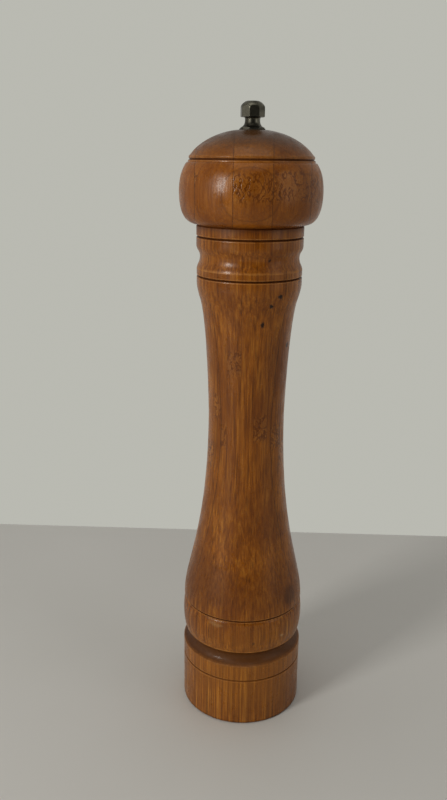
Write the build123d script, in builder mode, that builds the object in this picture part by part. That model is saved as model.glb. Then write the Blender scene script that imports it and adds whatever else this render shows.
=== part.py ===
"""Turned bamboo pepper mill with a nut-top grinding mechanism.

The frame stands on the foot: +Z runs up the shaft and the origin is the centre of the foot, on the
table. Sizes are in millimetres. The barrel stays still. The head, the shaft and the rotating burr
turn in it together, the knob sets how high the shaft hangs, and the head lifts off for filling.
"""

from build123d import *
import math
import os

os.makedirs("parts", exist_ok=True)

# ---- Barrel, outside: heights from the foot up ----
foot_radius = 31.4
foot_edge = 0.7
foot_line_height = 25.8
cove_height = 34.6
cove_opening = 7.4
cove_depth = 3.1
band_foot_step = 1.2  # how far the band's lower edge stands in from the foot
band_foot_lean = (1.3, 3.5)  # how the band's outline leaves that edge
band_step = 0.8  # how far its upper edge stands in
band_lean = (1.5, -6.4)  # and how the outline runs into it
band_width = 18.4  # from the cove to the scored line at the lip
lip_rise = 0.45
lip_width = 1.0

# The long flare is two curves that meet upright at the waist. Their handles are shares of them.
waist_radius = 18.87
waist_share = 0.638  # of the way from the lip to the shoulder
flare_share = 0.159
waist_share_below = 0.636
waist_share_above = 0.034
shoulder_share = 0.192

# ---- Barrel, outside: depths below the seam under the head ----
barrel_height = 253.8
shoulder_depth = 34.8
shoulder_radius = 23.37
shoulder_slope = 0.313  # radius gained for each millimetre of height
collar_depth = 26.5
collar_line_depth = 23.5
collar_radius = 25.1
collar_ease = 2.6
hollow_bottom_depth = 20.0
hollow_depth = 14.6
hollow_top_depth = 9.0
hollow_radius = 23.55
hollow_ease = 2.6
hollow_crease = (-0.45, 2.0)  # how the outline leaves the collar, with a slight crease
mouth_radius = 25.3
mouth_line_depth = 5.2
seam_edge = 0.45

score_width = 1.0
score_depth = 0.8

# ---- Barrel, inside ----
recess_depth = 10.0
recess_clearance = 0.6  # round the heads of the retaining plate's screws
chamber_radius = 12.5
socket_radius = 16.2

# ---- Head ----
head_radius = 33.4
belly_height = 14.6
belly_tuck = 5.6
belly_ease_below = 8.5
belly_ease_above = 9.7
head_line_height = 29.2
head_line_radius = 29.1
head_line_lean = (1.1, -2.1)  # how the outline runs into the scored line
dome_rim_radius = 28.75
dome_rim_rise = 1.0
dome_rim_lean = (-2.2, 4.4)  # and how it leaves it
dome_height = 42.1
dome_flat_margin = 0.7
dome_crown_lean = (11.5, -1.15)  # how the outline runs into the flat under the washer
tenon_length = 13.5
tenon_clearance = 0.4
tenon_edge = 0.8
shaft_hole_clearance = 0.55

# ---- Drive shaft ----
shaft_side = 6.0
shaft_corner = 0.35
shaft_top_drop = 2.6  # top of the square, below the dome
thread_radius = 2.5
thread_pitch = 0.8
thread_depth = 0.35
thread_length = 11.0
thread_edge = 0.5
square_clearance = 0.15
burr_fit = 0.05

# ---- Adjusting knob and its washer ----
washer_overlap = 1.1
washer_thickness = 0.5
washer_clearance = 0.25
knob_foot_flare = 2.5
knob_foot_thickness = 0.4
knob_wall = 0.83
knob_neck_length = 5.0
knob_flare_length = 3.0
knob_ease = 0.9
knob_radius = 5.65
knob_blank_allowance = 0.1
knob_sides = 8
knob_turn = -13.0
knob_side_height = 4.0
knob_crown_radius = 2.8
knob_crown_height = 2.8
knob_crown_bulge = 0.3
knob_cap = 2.0
knob_bore_clearance = 0.12

# ---- Drive plate under the head ----
plate_inset = 1.8
plate_thickness = 1.6
plate_socket_gap = 1.9
plate_screw_inset = 4.2
plate_screw_length = 9.0
plate_screw_count = 3

# ---- Ring burr ----
ring_wall = 1.4
ring_height = 16.0
ring_clearance = 0.3
flange_width = 1.5
flange_thickness = 2.5
fine_height = 6.0
mouth_tip_radius = 14.6
throat_tip_radius = 13.0
entry_tip_radius = 12.2
ring_fine_depth = 0.9
ring_coarse_depth = 2.1
ring_fine_teeth = 36
ring_coarse_teeth = 9

# ---- Rotating burr: its teeth lean the other way ----
grind_gap = 0.65  # between the tips, with the shaft half way along its travel
burr_drop = 1.0  # below the ring
burr_height = 18.0
burr_web = 2.0
burr_top_margin = 1.3  # round the foot of the spring
burr_fine_depth = 1.0
burr_coarse_depth = 2.6
burr_top_depth = 0.6
burr_fine_teeth = 32
burr_coarse_teeth = 7
tooth_back = 0.3  # share of a tooth that is its steep face
tooth_lean = 0.4  # share of a tooth that it turns from bottom to top

# ---- Spring, thrust washer and bridge ----
spring_clearance = 0.86  # round the shaft's corners
spring_wire_radius = 0.5
spring_turns = 6.5
spring_gap = 0.05
thrust_margin = 0.7
thrust_thickness = 0.8
bridge_thickness = 1.2
bridge_width = 7.0
bridge_height = 13.5
bridge_eye_wall = 1.8
bridge_leg_clearance = 0.4
bridge_foot_clearance = 0.3
bridge_bend = 1.8
turning_clearance = 0.35

# ---- Retaining plate and the screws ----
retainer_inner_margin = 0.1
retainer_outer_clearance = 0.4
retainer_thickness = 1.2
retainer_screw_wall = 1.45  # of wood, between the flange's pocket and the screws
retainer_screw_length = 12.0
retainer_screw_count = 3
wood_screw_radius = 1.15
wood_screw_head_radius = 2.1
wood_screw_head_height = 1.3
wood_screw_tip = 2.0
end_screw_radius = 1.5
end_screw_head_radius = 2.9
end_screw_head_height = 2.0
end_screw_length = 10.0
end_screw_tip = 0.6
end_washer_radius = 5.6
end_washer_thickness = 0.8
screw_clearance = 0.02
screw_hole_clearance = 0.15
pilot_spare = 0.5
slot_width = 0.7
slot_depth = 0.6
head_rounding = 0.5

# ---- Radii that several pieces share ----
band_foot_radius = foot_radius - band_foot_step
band_edge_radius = foot_radius - band_step
lip_radius = band_edge_radius + lip_rise
shaft_corner_radius = shaft_side / math.sqrt(2)
shaft_hole_radius = shaft_corner_radius + shaft_hole_clearance
washer_radius = shaft_hole_radius + washer_overlap
dome_flat_radius = washer_radius + dome_flat_margin
knob_bore_radius = thread_radius + knob_bore_clearance
knob_neck_radius = knob_bore_radius + knob_wall
spring_radius = shaft_corner_radius + spring_clearance + spring_wire_radius
spring_outer_radius = spring_radius + spring_wire_radius
tenon_radius = socket_radius - tenon_clearance
plate_radius = tenon_radius - plate_inset
plate_screw_circle = plate_radius - plate_screw_inset
ring_mouth_radius = mouth_tip_radius + ring_fine_depth
ring_radius = ring_mouth_radius + ring_wall
flange_radius = ring_radius + flange_width
burr_bore_radius = ring_radius + ring_clearance
flange_bore_radius = flange_radius + ring_clearance
retainer_screw_circle = flange_bore_radius + wood_screw_radius + retainer_screw_wall
recess_radius = retainer_screw_circle + wood_screw_head_radius + recess_clearance
pilot_radius = wood_screw_radius + screw_clearance
mouth_slope = (mouth_tip_radius - throat_tip_radius) / fine_height
burr_foot_radius = mouth_tip_radius - grind_gap + burr_drop * mouth_slope
burr_throat_radius = throat_tip_radius - grind_gap
burr_top_radius = spring_outer_radius + burr_top_margin

# ---- Levels that several pieces share ----
cove_top = cove_height + cove_opening
lip_line_height = cove_top + band_width
lip_height = lip_line_height + lip_width
shoulder_height = barrel_height - shoulder_depth
lip_to_shoulder = shoulder_height - lip_height
waist_height = lip_height + waist_share * lip_to_shoulder
below_waist = waist_height - lip_height
above_waist = shoulder_height - waist_height
collar_height = barrel_height - collar_depth
mouth_line_height = barrel_height - mouth_line_depth

roof_height = recess_depth
ring_top = roof_height + flange_thickness + ring_height
bridge_seat_top = ring_top + bridge_thickness
fine_top = roof_height + fine_height
burr_bottom = roof_height - burr_drop
burr_top = burr_bottom + burr_height
bridge_top = ring_top + bridge_height
bridge_underside = bridge_top - bridge_thickness
spring_top = bridge_underside - thrust_thickness

tenon_end = barrel_height - tenon_length
plate_underside = tenon_end - plate_thickness
socket_floor = plate_underside - plate_socket_gap
dome_top = barrel_height + dome_height
washer_top = dome_top + washer_thickness
knob_head_bottom = washer_top + knob_neck_length
knob_shoulder = knob_head_bottom + knob_side_height
knob_top = knob_shoulder + knob_crown_height

shaft_bottom = burr_bottom + burr_web
thread_start = dome_top - shaft_top_drop
retainer_underside = roof_height - retainer_thickness
end_washer_underside = burr_bottom - end_washer_thickness

upward = (Align.CENTER, Align.CENTER, Align.MIN)
downward = (Align.CENTER, Align.CENTER, Align.MAX)


def scored_line(radius, height):
    """A V-shaped line, cut as deep as score_depth into a round surface of this radius."""
    with BuildSketch(Plane.XZ) as notch:
        with BuildLine():
            Polyline(
                (radius - score_depth, height),
                (radius + score_depth, height + score_width),
                (radius + score_depth, height - score_width),
                close=True,
            )
        make_face()
    return notch.sketch


def square(height, clearance):
    """The shaft's section at a height, larger by a clearance on each side."""
    side = shaft_side + 2 * clearance
    with BuildSketch(Plane.XY.offset(height)) as section:
        RectangleRounded(side, side, shaft_corner)
    return section.sketch


def teeth(height, count, tip_radius, root_radius, lean):
    """A saw-toothed outline at a height. The lean is the share of a tooth that it is turned by."""
    pitch = 360 / count
    corners = []
    for index in range(count):
        start = (index + lean) * pitch
        corners.append(Vector(tip_radius, 0).rotate(Axis.Z, start))
        corners.append(Vector(root_radius, 0).rotate(Axis.Z, start + tooth_back * pitch))
    with BuildSketch(Plane.XY.offset(height)) as outline:
        with BuildLine():
            Polyline(*[(corner.X, corner.Y) for corner in corners], close=True)
        make_face()
    return outline.sketch


def slotted_screws(seat, circle, count, length, radius, head_radius, head_height, tip):
    """Pan-head screws, driven upward, whose heads bear on a face at the height of the seat."""
    with BuildPart() as screws:
        with Locations((0, 0, seat)):
            with PolarLocations(circle, count):
                Cylinder(head_radius, head_height, align=downward)
        head_rims = screws.edges().filter_by(GeomType.CIRCLE).group_by(Axis.Z)[0]
        fillet(head_rims, head_rounding)
        with Locations((0, 0, seat)):
            with PolarLocations(circle, count):
                Cylinder(radius, length - tip, align=upward)
        with Locations((0, 0, seat + length - tip)):
            with PolarLocations(circle, count):
                Cone(radius, radius / 3, tip, align=upward)
        with Locations((0, 0, seat - head_height)):
            with PolarLocations(circle, count):
                Box(slot_width, 3 * head_radius, slot_depth, align=upward, mode=Mode.SUBTRACT)
    return screws.part


# ---- Barrel: a turned blank of glued bamboo strips, bored from both ends ----
with BuildPart() as barrel:
    with BuildSketch(Plane.XZ):
        with BuildLine():
            Polyline((0, barrel_height), (0, 0), (foot_radius, 0), (foot_radius, cove_height))
            ThreePointArc(
                (foot_radius, cove_height),
                (foot_radius - cove_depth, cove_height + cove_opening / 2),
                (band_foot_radius, cove_top),
            )
            Bezier(
                (band_foot_radius, cove_top),
                (band_foot_radius + band_foot_lean[0], cove_top + band_foot_lean[1]),
                (band_edge_radius + band_lean[0], lip_line_height + band_lean[1]),
                (band_edge_radius, lip_line_height),
            )
            Line((band_edge_radius, lip_line_height), (lip_radius, lip_height))
            Bezier(
                (lip_radius, lip_height),
                (lip_radius, lip_height + flare_share * below_waist),
                (waist_radius, waist_height - waist_share_below * below_waist),
                (waist_radius, waist_height),
            )
            shoulder_handle = shoulder_share * above_waist
            Bezier(
                (waist_radius, waist_height),
                (waist_radius, waist_height + waist_share_above * above_waist),
                (shoulder_radius - shoulder_slope * shoulder_handle, shoulder_height - shoulder_handle),
                (shoulder_radius, shoulder_height),
            )
            Bezier(
                (shoulder_radius, shoulder_height),
                (shoulder_radius + shoulder_slope * collar_ease, shoulder_height + collar_ease),
                (collar_radius, collar_height - collar_ease),
                (collar_radius, collar_height),
            )
            hollow_bottom = barrel_height - hollow_bottom_depth
            hollow_height = barrel_height - hollow_depth
            hollow_top = barrel_height - hollow_top_depth
            Line((collar_radius, collar_height), (collar_radius, hollow_bottom))
            Bezier(
                (collar_radius, hollow_bottom),
                (collar_radius + hollow_crease[0], hollow_bottom + hollow_crease[1]),
                (hollow_radius, hollow_height - hollow_ease),
                (hollow_radius, hollow_height),
            )
            Bezier(
                (hollow_radius, hollow_height),
                (hollow_radius, hollow_height + hollow_ease),
                (mouth_radius, hollow_top - hollow_ease),
                (mouth_radius, hollow_top),
            )
            Polyline((mouth_radius, hollow_top), (mouth_radius, barrel_height), (0, barrel_height))
        make_face()
    revolve(axis=Axis.Z)
    rims = barrel.edges().filter_by(GeomType.CIRCLE).sort_by(Axis.Z)
    chamfer(rims[0], foot_edge)
    chamfer(rims[-1], seam_edge)

    scored_lines = [
        scored_line(foot_radius, foot_line_height),
        scored_line(band_edge_radius, lip_line_height),
        scored_line(collar_radius, barrel_height - collar_line_depth),
        scored_line(mouth_radius, mouth_line_height),
    ]
    revolve(scored_lines, axis=Axis.Z, mode=Mode.SUBTRACT)

    burr_bore_depth = bridge_seat_top - roof_height
    pilot_length = retainer_screw_length - retainer_thickness + pilot_spare
    Cylinder(recess_radius, recess_depth, align=upward, mode=Mode.SUBTRACT)
    with Locations((0, 0, roof_height)):
        Cylinder(flange_bore_radius, flange_thickness, align=upward, mode=Mode.SUBTRACT)
        Cylinder(burr_bore_radius, burr_bore_depth, align=upward, mode=Mode.SUBTRACT)
        Cylinder(chamber_radius, barrel_height - roof_height, align=upward, mode=Mode.SUBTRACT)
        with PolarLocations(retainer_screw_circle, retainer_screw_count):
            Cylinder(pilot_radius, pilot_length, align=upward, mode=Mode.SUBTRACT)
    with Locations((0, 0, socket_floor)):
        Cylinder(socket_radius, barrel_height - socket_floor, align=upward, mode=Mode.SUBTRACT)
barrel.part.label = "barrel"
export_step(barrel.part, "parts/barrel.step")

# ---- Head: turned from the same kind of blank, with a tenon that turns in the barrel's mouth ----
with BuildPart() as head:
    belly_level = barrel_height + belly_height
    line_level = barrel_height + head_line_height
    rim_level = line_level + dome_rim_rise
    tuck_level = barrel_height + seam_edge
    with BuildSketch(Plane.XZ):
        with BuildLine():
            Polyline(
                (dome_flat_radius, dome_top),
                (0, dome_top),
                (0, tenon_end),
                (tenon_radius, tenon_end),
                (tenon_radius, barrel_height),
                (mouth_radius - seam_edge, barrel_height),
                (mouth_radius, tuck_level),
            )
            Bezier(
                (mouth_radius, tuck_level),
                (mouth_radius + belly_tuck, tuck_level),
                (head_radius, belly_level - belly_ease_below),
                (head_radius, belly_level),
            )
            Bezier(
                (head_radius, belly_level),
                (head_radius, belly_level + belly_ease_above),
                (head_line_radius + head_line_lean[0], line_level + head_line_lean[1]),
                (head_line_radius, line_level),
            )
            Line((head_line_radius, line_level), (dome_rim_radius, rim_level))
            Bezier(
                (dome_rim_radius, rim_level),
                (dome_rim_radius + dome_rim_lean[0], rim_level + dome_rim_lean[1]),
                (dome_flat_radius + dome_crown_lean[0], dome_top + dome_crown_lean[1]),
                (dome_flat_radius, dome_top),
            )
        make_face()
    revolve(axis=Axis.Z)
    tenon_rim = head.edges().filter_by(GeomType.CIRCLE).sort_by(Axis.Z)[0]
    chamfer(tenon_rim, tenon_edge)
    revolve(scored_line(head_line_radius, line_level), axis=Axis.Z, mode=Mode.SUBTRACT)
    with Locations((0, 0, tenon_end)):
        Cylinder(shaft_hole_radius, dome_top - tenon_end, align=upward, mode=Mode.SUBTRACT)
        with PolarLocations(plate_screw_circle, plate_screw_count):
            pilot_length = plate_screw_length - plate_thickness + pilot_spare
            Cylinder(pilot_radius, pilot_length, align=upward, mode=Mode.SUBTRACT)
head.part.label = "head"
export_step(head.part, "parts/head.step")

# ---- Knob washer: thin steel, between the knob and the dome ----
with BuildPart() as knob_washer:
    with BuildSketch(Plane.XY.offset(dome_top)):
        Circle(washer_radius)
        Circle(thread_radius + washer_clearance, mode=Mode.SUBTRACT)
    extrude(amount=washer_thickness)
knob_washer.part.label = "knob_washer"
export_step(knob_washer.part, "parts/knob_washer.step")

# ---- Adjusting knob: turned on a flared neck, then milled to eight sides, with a blind bore ----
with BuildPart() as adjusting_knob:
    blank_radius = knob_radius + knob_blank_allowance
    foot_flange_radius = knob_neck_radius + knob_foot_flare
    foot_top = washer_top + knob_foot_thickness
    flare_top = foot_top + knob_flare_length
    ease_bottom = knob_head_bottom - knob_ease
    with BuildSketch(Plane.XZ):
        with BuildLine():
            Polyline((0, knob_top), (0, washer_top), (foot_flange_radius, washer_top))
            Line((foot_flange_radius, washer_top), (foot_flange_radius, foot_top))
            Bezier(
                (foot_flange_radius, foot_top),
                (knob_neck_radius, foot_top + knob_foot_thickness),
                (knob_neck_radius, flare_top),
            )
            Line((knob_neck_radius, flare_top), (knob_neck_radius, ease_bottom))
            Bezier(
                (knob_neck_radius, ease_bottom),
                (knob_neck_radius, knob_head_bottom),
                (knob_neck_radius + knob_ease, knob_head_bottom),
            )
            Polyline(
                (knob_neck_radius + knob_ease, knob_head_bottom),
                (blank_radius, knob_head_bottom),
                (blank_radius, knob_shoulder),
            )
            SagittaArc((blank_radius, knob_shoulder), (knob_crown_radius, knob_top), -knob_crown_bulge)
            Line((knob_crown_radius, knob_top), (0, knob_top))
        make_face()
    revolve(axis=Axis.Z)
    with BuildSketch(Plane.XY.offset(knob_head_bottom)):
        Circle(2 * knob_radius)
        RegularPolygon(knob_radius, knob_sides, rotation=knob_turn, mode=Mode.SUBTRACT)
    extrude(amount=knob_top - knob_head_bottom, mode=Mode.SUBTRACT)
    with Locations((0, 0, washer_top)):
        bore_length = knob_top - knob_cap - washer_top
        Cylinder(knob_bore_radius, bore_length, align=upward, mode=Mode.SUBTRACT)
adjusting_knob.part.label = "adjusting_knob"
export_step(adjusting_knob.part, "parts/adjusting_knob.step")

# ---- Drive plate: a steel disc under the tenon, whose square hole turns the shaft ----
with BuildPart() as drive_plate:
    with BuildSketch(Plane.XY.offset(plate_underside)):
        Circle(plate_radius)
        with PolarLocations(plate_screw_circle, plate_screw_count):
            Circle(wood_screw_radius + screw_hole_clearance, mode=Mode.SUBTRACT)
    extrude(amount=plate_thickness)
    extrude(square(plate_underside, square_clearance), amount=plate_thickness, mode=Mode.SUBTRACT)
drive_plate.part.label = "drive_plate"
export_step(drive_plate.part, "parts/drive_plate.step")

drive_plate_screws = slotted_screws(
    seat=plate_underside,
    circle=plate_screw_circle,
    count=plate_screw_count,
    length=plate_screw_length,
    radius=wood_screw_radius,
    head_radius=wood_screw_head_radius,
    head_height=wood_screw_head_height,
    tip=wood_screw_tip,
)
drive_plate_screws.label = "drive_plate_screws"
export_step(drive_plate_screws, "parts/drive_plate_screws.step")

# ---- Drive shaft: square bar, tapped at the bottom and threaded at the top ----
with BuildPart() as drive_shaft:
    extrude(square(shaft_bottom, 0), amount=thread_start - shaft_bottom)
    with Locations((0, 0, thread_start)):
        Cylinder(thread_radius, thread_length, align=upward)
    thread_rim = drive_shaft.edges().filter_by(GeomType.CIRCLE).sort_by(Axis.Z)[-1]
    chamfer(thread_rim, thread_edge)
    with BuildSketch(Plane.XZ):
        for index in range(1, int((thread_length - thread_edge) / thread_pitch)):
            groove = thread_start + index * thread_pitch
            with BuildLine():
                Polyline(
                    (thread_radius - thread_depth, groove),
                    (thread_radius + thread_depth, groove + 0.8 * thread_pitch),
                    (thread_radius + thread_depth, groove - 0.8 * thread_pitch),
                    close=True,
                )
            make_face()
    revolve(axis=Axis.Z, mode=Mode.SUBTRACT)
    tapped_depth = end_screw_length - end_washer_thickness - burr_web + pilot_spare
    with Locations((0, 0, shaft_bottom)):
        Cylinder(end_screw_radius + screw_clearance, tapped_depth, align=upward, mode=Mode.SUBTRACT)
drive_shaft.part.label = "drive_shaft"
export_step(drive_shaft.part, "parts/drive_shaft.step")

# ---- Ring burr: a flanged steel ring with coarse teeth above and fine teeth at the mouth ----
with BuildPart() as ring_burr:
    with Locations((0, 0, roof_height)):
        Cylinder(flange_radius, flange_thickness, align=upward)
        Cylinder(ring_radius, ring_top - roof_height, align=upward)
    throat_radius = throat_tip_radius + ring_fine_depth
    entry_radius = entry_tip_radius + ring_coarse_depth
    fine_teeth = [
        teeth(roof_height, ring_fine_teeth, mouth_tip_radius, ring_mouth_radius, 0),
        teeth(fine_top, ring_fine_teeth, throat_tip_radius, throat_radius, tooth_lean),
    ]
    loft(fine_teeth, ruled=True, mode=Mode.SUBTRACT)
    coarse_teeth = [
        teeth(fine_top, ring_coarse_teeth, throat_tip_radius, throat_radius, 0),
        teeth(ring_top, ring_coarse_teeth, entry_tip_radius, entry_radius, tooth_lean),
    ]
    loft(coarse_teeth, ruled=True, mode=Mode.SUBTRACT)
ring_burr.part.label = "ring_burr"
export_step(ring_burr.part, "parts/ring_burr.step")

# ---- Rotating burr: a toothed steel cone on the square, held up against the shaft's end ----
with BuildPart() as rotating_burr:
    foot_root = burr_foot_radius - burr_fine_depth
    throat_root = burr_throat_radius - burr_fine_depth
    fine_teeth = [
        teeth(burr_bottom, burr_fine_teeth, burr_foot_radius, foot_root, 0),
        teeth(fine_top, burr_fine_teeth, burr_throat_radius, throat_root, -tooth_lean),
    ]
    loft(fine_teeth, ruled=True)
    coarse_root = burr_throat_radius - burr_coarse_depth
    top_root = burr_top_radius - burr_top_depth
    coarse_teeth = [
        teeth(fine_top, burr_coarse_teeth, burr_throat_radius, coarse_root, 0),
        teeth(burr_top, burr_coarse_teeth, burr_top_radius, top_root, -tooth_lean),
    ]
    loft(coarse_teeth, ruled=True)
    extrude(square(shaft_bottom, burr_fit), amount=burr_top - shaft_bottom, mode=Mode.SUBTRACT)
    with Locations((0, 0, burr_bottom)):
        Cylinder(end_screw_radius + screw_hole_clearance, burr_web, align=upward, mode=Mode.SUBTRACT)
rotating_burr.part.label = "rotating_burr"
export_step(rotating_burr.part, "parts/rotating_burr.step")

with BuildPart() as burr_washer:
    with BuildSketch(Plane.XY.offset(end_washer_underside)):
        Circle(end_washer_radius)
        Circle(end_screw_radius + screw_hole_clearance, mode=Mode.SUBTRACT)
    extrude(amount=end_washer_thickness)
burr_washer.part.label = "burr_washer"
export_step(burr_washer.part, "parts/burr_washer.step")

burr_screw = slotted_screws(
    seat=end_washer_underside,
    circle=0,
    count=1,
    length=end_screw_length,
    radius=end_screw_radius,
    head_radius=end_screw_head_radius,
    head_height=end_screw_head_height,
    tip=end_screw_tip,
)
burr_screw.label = "burr_screw"
export_step(burr_screw, "parts/burr_screw.step")

# ---- Bridge: a bent steel strap that stands on the ring burr and steadies the shaft ----
with BuildPart() as bridge:
    half_width = bridge_width / 2
    leg_reach = math.sqrt((chamber_radius - bridge_leg_clearance) ** 2 - half_width**2)
    foot_reach = math.sqrt((burr_bore_radius - bridge_foot_clearance) ** 2 - half_width**2)
    with BuildSketch(Plane.XZ):
        with Locations((0, ring_top)):
            Rectangle(2 * foot_reach, bridge_thickness, align=(Align.CENTER, Align.MIN))
            Rectangle(2 * leg_reach, bridge_height, align=(Align.CENTER, Align.MIN))
            inner_reach = leg_reach - bridge_thickness
            inner_height = bridge_height - bridge_thickness
            Rectangle(
                2 * inner_reach, inner_height, align=(Align.CENTER, Align.MIN), mode=Mode.SUBTRACT
            )
    extrude(amount=half_width, both=True)
    strap_corners = bridge.edges().filter_by(Axis.Y).group_by(Axis.Z)
    fillet(strap_corners[-1], bridge_bend)
    fillet(strap_corners[-2], bridge_bend - bridge_thickness)
    eye_radius = shaft_corner_radius + turning_clearance
    with Locations((0, 0, bridge_underside)):
        Cylinder(eye_radius + bridge_eye_wall, bridge_thickness, align=upward)
        Cylinder(eye_radius, bridge_thickness, align=upward, mode=Mode.SUBTRACT)
bridge.part.label = "bridge"
export_step(bridge.part, "parts/bridge.step")

# ---- Thrust washer: keyed to the square, it turns with the spring under the bridge ----
with BuildPart() as thrust_washer:
    with BuildSketch(Plane.XY.offset(spring_top)):
        Circle(spring_outer_radius + thrust_margin)
    extrude(amount=thrust_thickness)
    extrude(square(spring_top, square_clearance), amount=thrust_thickness, mode=Mode.SUBTRACT)
thrust_washer.part.label = "thrust_washer"
export_step(thrust_washer.part, "parts/thrust_washer.step")

# ---- Burr spring: pushes the rotating burr down, away from the ring ----
with BuildPart() as burr_spring:
    coil_bottom = burr_top + spring_gap + spring_wire_radius
    coil_height = spring_top - spring_gap - spring_wire_radius - coil_bottom
    with BuildLine() as coil:
        Helix(coil_height / spring_turns, coil_height, spring_radius, center=(0, 0, coil_bottom))
    with BuildSketch(Plane(origin=coil.line @ 0, z_dir=coil.line % 0)):
        Circle(spring_wire_radius)
    sweep(path=coil.line)
burr_spring.part.label = "burr_spring"
export_step(burr_spring.part, "parts/burr_spring.step")

# ---- Retaining plate: a steel annulus that holds the ring burr up in its bore ----
with BuildPart() as retaining_plate:
    with BuildSketch(Plane.XY.offset(retainer_underside)):
        Circle(recess_radius - retainer_outer_clearance)
        Circle(ring_mouth_radius + retainer_inner_margin, mode=Mode.SUBTRACT)
        with PolarLocations(retainer_screw_circle, retainer_screw_count):
            Circle(wood_screw_radius + screw_hole_clearance, mode=Mode.SUBTRACT)
    extrude(amount=retainer_thickness)
retaining_plate.part.label = "retaining_plate"
export_step(retaining_plate.part, "parts/retaining_plate.step")

retaining_plate_screws = slotted_screws(
    seat=retainer_underside,
    circle=retainer_screw_circle,
    count=retainer_screw_count,
    length=retainer_screw_length,
    radius=wood_screw_radius,
    head_radius=wood_screw_head_radius,
    head_height=wood_screw_head_height,
    tip=wood_screw_tip,
)
retaining_plate_screws.label = "retaining_plate_screws"
export_step(retaining_plate_screws, "parts/retaining_plate_screws.step")
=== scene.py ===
import cmath
import math

import bpy
from mathutils import Matrix, Vector
from mathutils.geometry import interpolate_bezier


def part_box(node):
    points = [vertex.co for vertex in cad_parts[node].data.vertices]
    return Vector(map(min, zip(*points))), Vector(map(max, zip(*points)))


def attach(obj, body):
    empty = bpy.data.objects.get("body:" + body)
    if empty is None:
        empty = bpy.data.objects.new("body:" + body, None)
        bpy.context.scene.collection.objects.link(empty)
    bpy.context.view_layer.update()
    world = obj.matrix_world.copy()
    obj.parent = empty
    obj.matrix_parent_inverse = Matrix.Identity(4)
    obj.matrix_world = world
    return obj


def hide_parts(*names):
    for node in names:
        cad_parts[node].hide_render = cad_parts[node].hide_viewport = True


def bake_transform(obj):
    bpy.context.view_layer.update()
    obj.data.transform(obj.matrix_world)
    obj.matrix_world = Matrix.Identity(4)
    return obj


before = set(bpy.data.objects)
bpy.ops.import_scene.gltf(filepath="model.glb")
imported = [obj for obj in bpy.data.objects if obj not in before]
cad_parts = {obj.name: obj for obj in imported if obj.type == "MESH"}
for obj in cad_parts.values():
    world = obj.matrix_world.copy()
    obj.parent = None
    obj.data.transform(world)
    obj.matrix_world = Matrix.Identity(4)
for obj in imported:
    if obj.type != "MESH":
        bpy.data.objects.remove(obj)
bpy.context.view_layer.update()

# ---- Barrel ----
# A block of laminated bamboo, strips glued side by side, turned on a lathe and bored from both ends.
# It is stained chestnut and lacquered outside; the socket, the chamber and the burr pocket stay raw.
# V lines and a deep cove were cut with the skew and have collected dark stain, deepened by painted shade.
MM = 0.001


def linear(colour):
    """A colour socket's value for an sRGB hex colour."""
    channels = [int(colour[i : i + 2], 16) / 255 for i in (1, 3, 5)]
    return [c / 12.92 if c <= 0.04045 else ((c + 0.055) / 1.055) ** 2.4 for c in channels] + [1.0]


def add(tree, kind, inputs=(), out=0, **settings):
    """Adds a node with its settings; an input that is a socket is linked, any other is its value."""
    made = tree.nodes.new(kind)
    for name, value in settings.items():
        setattr(made, name, value)
    for key, value in dict(inputs).items():
        if isinstance(value, bpy.types.NodeSocket):
            tree.links.new(value, made.inputs[key])
        else:
            made.inputs[key].default_value = value
    return made.outputs[out] if made.outputs else made


def start_tree(name, sizes):
    """A Geometry Nodes tree with named inputs, and its input node's sockets."""
    tree = bpy.data.node_groups.new(name, "GeometryNodeTree")
    sockets = {"Geometry": "Geometry", **sizes}
    for size, kind in sockets.items():
        tree.interface.new_socket(size, in_out="INPUT", socket_type="NodeSocket" + kind)
    tree.interface.new_socket("Geometry", in_out="OUTPUT", socket_type="NodeSocketGeometry")
    return tree, tree.nodes.new("NodeGroupInput").outputs


def end_tree(tree, geometry, material):
    """Ends a tree in real geometry that carries its material."""
    real = add(tree, "GeometryNodeRealizeInstances", {"Geometry": geometry})
    painted = add(tree, "GeometryNodeSetMaterial", {"Geometry": real, "Material": material})
    add(tree, "NodeGroupOutput", {0: painted})


def grow(name, tree, mesh, sizes):
    """Runs a tree on a mesh, and keeps the result as a plain mesh object at the origin."""
    blank = bpy.data.objects.new(name + "_blank", mesh)
    bpy.context.collection.objects.link(blank)
    modifier = blank.modifiers.new("grow", "NODES")
    modifier.node_group = tree
    for item in tree.interface.items_tree:
        if item.in_out == "INPUT" and item.name in sizes:
            modifier[item.identifier] = sizes[item.name]
    graph = bpy.context.evaluated_depsgraph_get()
    grown = bpy.data.meshes.new_from_object(
        blank.evaluated_get(graph), preserve_all_data_layers=True, depsgraph=graph
    )
    blank.modifiers.remove(modifier)
    bpy.data.objects.remove(blank)
    piece = bpy.data.objects.new(name, grown)
    bpy.context.collection.objects.link(piece)
    return piece


# One lathe for every turned piece: its input is an outline, a row of points in the XZ plane, each
# with its lacquer, stain and painted shade, rub and painted highlight. Flats are milled where a piece has
# them.
lathe, size = start_tree(
    "lathe",
    {
        "Segments": "Int",
        "Ripple": "Float",
        "Ripple Length": "Float",
        "Flats": "Int",
        "Across Flats": "Float",
        "Flats Turn": "Float",
        "Seed": "Int",
        "Sharp Angle": "Float",
        "Material": "Material",
    },
)
index = add(lathe, "GeometryNodeInputIndex")
rings = add(lathe, "GeometryNodeAttributeDomainSize", {0: size["Geometry"]})
columns = add(lathe, "FunctionNodeIntegerMath", {0: size["Segments"], 1: 1}, operation="ADD")
sheet = add(lathe, "GeometryNodeMeshGrid", {"Vertices X": columns, "Vertices Y": rings})
ring = add(lathe, "FunctionNodeIntegerMath", {0: index, 1: rings}, operation="MODULO")
column = add(lathe, "FunctionNodeIntegerMath", {0: index, 1: rings}, operation="DIVIDE_FLOOR")
share = add(lathe, "ShaderNodeMath", {0: column, 1: size["Segments"]}, operation="DIVIDE")
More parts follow.
